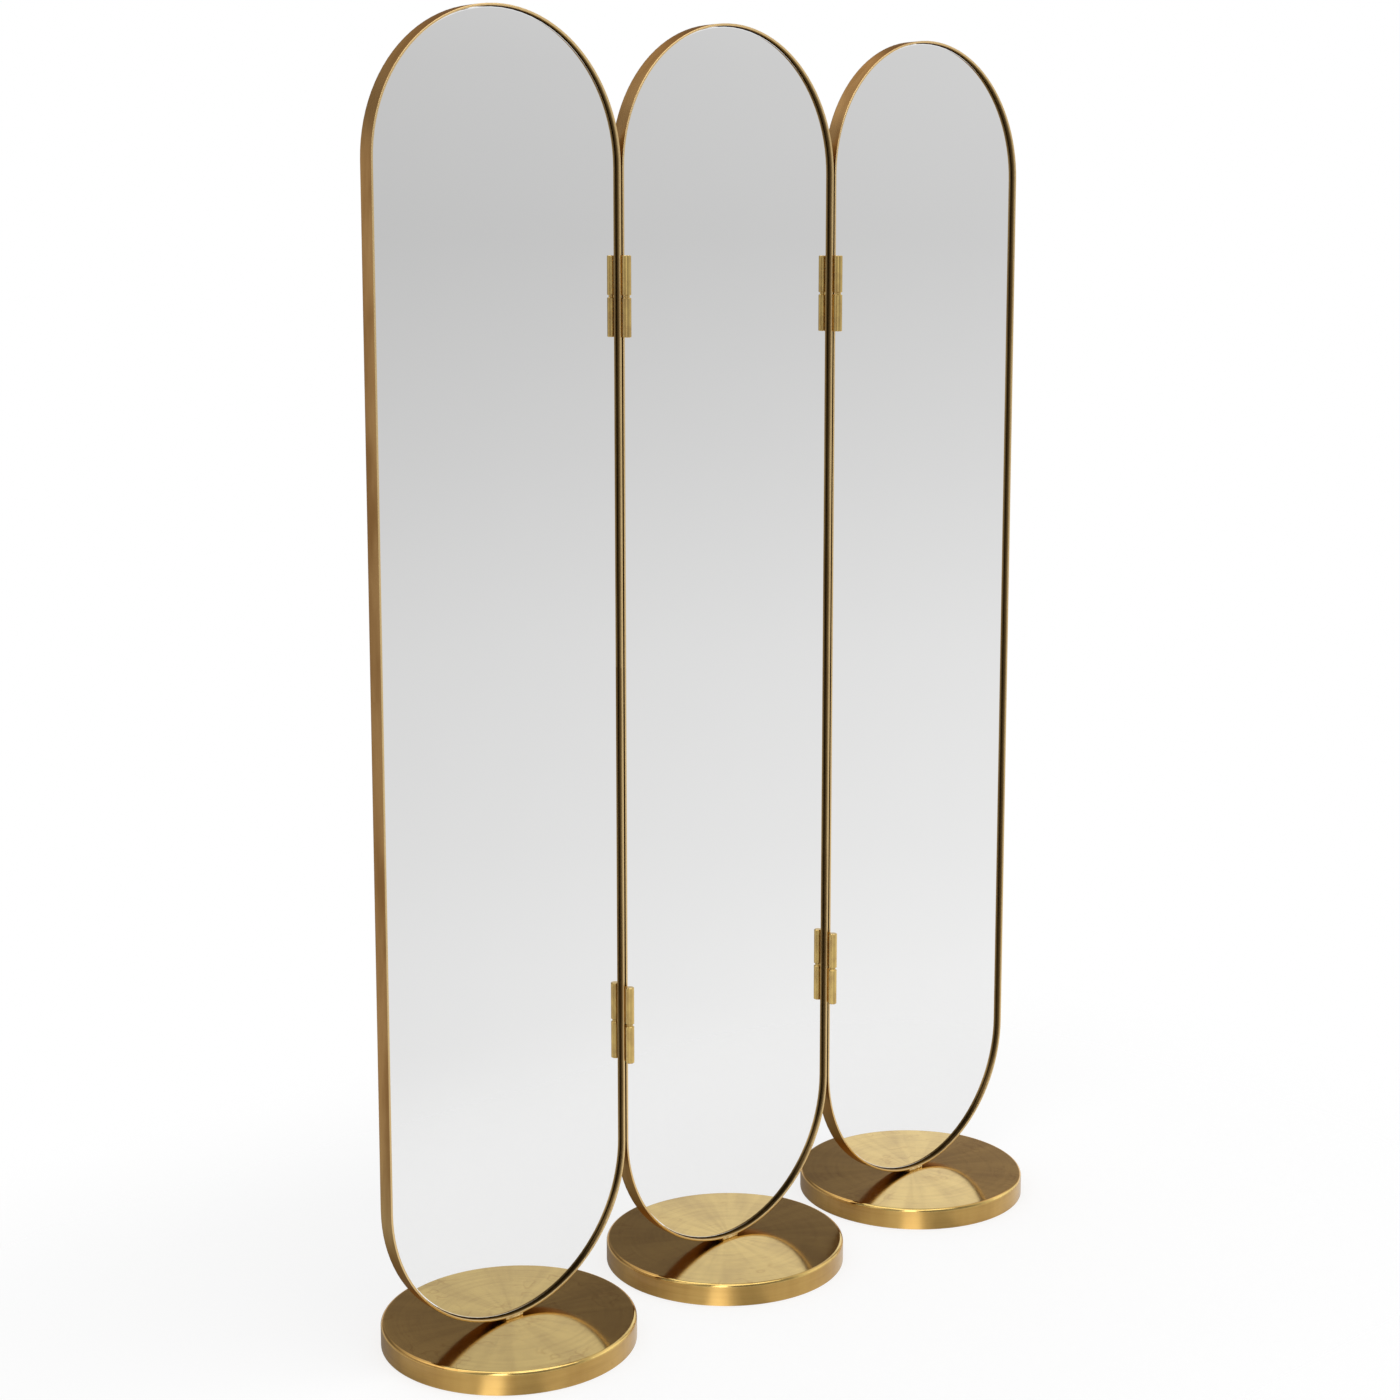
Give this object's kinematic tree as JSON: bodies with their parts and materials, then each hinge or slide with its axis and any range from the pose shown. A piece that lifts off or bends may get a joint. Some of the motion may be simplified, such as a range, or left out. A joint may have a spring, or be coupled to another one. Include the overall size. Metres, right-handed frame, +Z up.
{
  "type": "folding room divider screen",
  "caption": "Free-standing folding screen of tall mirrors with half-round ends in thin brass-coloured strip frames, each on a round base, joined by barrel hinges.",
  "frame": {"origin": "on the floor, under the centre of the middle panel's round base, with the panels opened out flat", "axes": "+Z up; the mirrors face -Y, so -Y is the front; +X runs along the row of panels, to the right as seen from the front"},
  "size_m": [1.205, 0.35, 1.7839],
  "materials": {
    "frame_brass": "satin brushed, lightly aged, lacquered",
    "base_brass": "spun with fine circular brushing, lightly aged, lacquered",
    "hinge_brass": "turned, satin",
    "foot_brass": "ground bright beside the weld",
    "mirror": "silvered float glass with a narrow polished bevel",
    "backing_board": "fibreboard, painted matt charcoal",
    "foam_tape": "foam mounting tape",
    "zinc_screws": "bright zinc plated",
    "hinge_pin_steel": "ground steel",
    "cast_iron": "as cast, painted",
    "floor_pad": "matt soft pad"
  },
  "bodies": {
    "panel_left": {"frame_upper_left": "frame_brass", "frame_lower_left": "frame_brass", "mirror_left": "mirror", "mirror_tape_left": "foam_tape", "backing_board_left": "backing_board", "board_tabs_left": "frame_brass", "tab_screws_left": "zinc_screws", "leaf_screws_left": "hinge_brass", "foot_left": "foot_brass", "foot_bolt_left": "zinc_screws", "foot_washer_left": "zinc_screws", "base_cover_left": "base_brass", "base_weight_left": "cast_iron", "base_pad_left": "floor_pad", "hinge_outer_half_upper_left": "hinge_brass", "hinge_outer_half_lower_left": "hinge_brass"},
    "panel_middle": {"frame_upper_middle": "frame_brass", "frame_lower_middle": "frame_brass", "mirror_middle": "mirror", "mirror_tape_middle": "foam_tape", "backing_board_middle": "backing_board", "board_tabs_middle": "frame_brass", "tab_screws_middle": "zinc_screws", "leaf_screws_middle": "hinge_brass", "foot_middle": "foot_brass", "foot_bolt_middle": "zinc_screws", "foot_washer_middle": "zinc_screws", "base_cover_middle": "base_brass", "base_weight_middle": "cast_iron", "base_pad_middle": "floor_pad", "hinge_middle_half_upper_left": "hinge_brass", "hinge_pin_upper_left": "hinge_pin_steel", "hinge_washer_upper_left": "hinge_brass", "hinge_middle_half_upper_right": "hinge_brass", "hinge_pin_upper_right": "hinge_pin_steel", "hinge_washer_upper_right": "hinge_brass", "hinge_middle_half_lower_left": "hinge_brass", "hinge_pin_lower_left": "hinge_pin_steel", "hinge_washer_lower_left": "hinge_brass", "hinge_middle_half_lower_right": "hinge_brass", "hinge_pin_lower_right": "hinge_pin_steel", "hinge_washer_lower_right": "hinge_brass"},
    "panel_right": {"frame_upper_right": "frame_brass", "frame_lower_right": "frame_brass", "mirror_right": "mirror", "mirror_tape_right": "foam_tape", "backing_board_right": "backing_board", "board_tabs_right": "frame_brass", "tab_screws_right": "zinc_screws", "leaf_screws_right": "hinge_brass", "foot_right": "foot_brass", "foot_bolt_right": "zinc_screws", "foot_washer_right": "zinc_screws", "base_cover_right": "base_brass", "base_weight_right": "cast_iron", "base_pad_right": "floor_pad", "hinge_outer_half_upper_right": "hinge_brass", "hinge_outer_half_lower_right": "hinge_brass"}
  },
  "joints": [
    {"name": "fold_left", "type": "hinge", "parent": "panel_middle", "child": "panel_left", "pos_m": [-0.20125, -0.0215, 0.9065], "axis": [0, 0, 1], "range_deg": [0, 70]},
    {"name": "fold_right", "type": "hinge", "parent": "panel_middle", "child": "panel_right", "pos_m": [0.20125, -0.0215, 0.9065], "axis": [0, 0, -1], "range_deg": [0, 70]}
  ]
}
